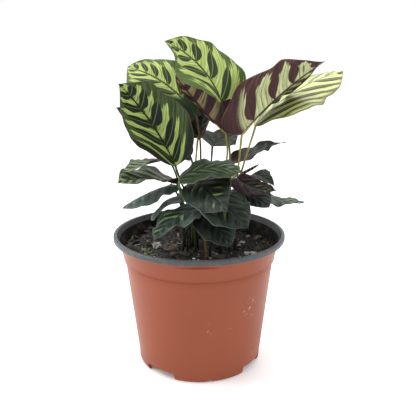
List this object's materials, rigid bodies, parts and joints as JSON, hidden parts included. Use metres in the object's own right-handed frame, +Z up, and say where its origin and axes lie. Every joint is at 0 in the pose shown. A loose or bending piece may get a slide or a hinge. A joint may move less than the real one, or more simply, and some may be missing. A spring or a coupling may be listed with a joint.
{
  "type": "potted calathea",
  "caption": "Potted calathea house plant: broad patterned leaves on thin stems, growing from soil in a round rimmed nursery pot with drainage notches.",
  "frame": {"origin": "centre of the pot's base, on the surface that the pot stands on", "axes": "+Z up along the pot's axis, -Y towards the front of the plant, +X to the viewer's right"},
  "size_m": [0.2177, 0.1897, 0.3147],
  "materials": {
    "pot_plastic": "moulded terracotta-red plastic outside, dark grey inside and on the rolled rim, faintly scuffed",
    "potting_soil": "loose dark potting mix with bark chips, damp and rough",
    "leaf": "satin leaf, pale yellow-green above with dark green ovals along the veins, maroon below"
  },
  "bodies": {
    "root": {"pot": "pot_plastic", "soil": "potting_soil", "leaf_tall_left": "leaf", "leaf_tall_top": "leaf", "leaf_tall_back": "leaf", "leaf_tall_right": "leaf", "leaf_outer_right": "leaf", "leaf_tall_behind": "leaf", "leaf_behind_left": "leaf", "leaf_curled": "leaf", "leaf_level": "leaf", "leaf_middle_right": "leaf", "leaf_young_rolled": "leaf", "leaf_middle_left": "leaf", "leaf_upper_left": "leaf", "leaf_low_left": "leaf", "leaf_small_left": "leaf", "leaf_drooping_left": "leaf", "leaf_crown": "leaf", "leaf_front_upper": "leaf", "leaf_front_right": "leaf", "leaf_front_low": "leaf", "leaf_side_right": "leaf", "leaf_striped_right": "leaf", "leaf_pointed_right": "leaf", "leaf_dark_right": "leaf", "leaf_rear_left": "leaf", "leaf_rear_right": "leaf", "leaf_rear_middle": "leaf"}
  },
  "joints": []
}
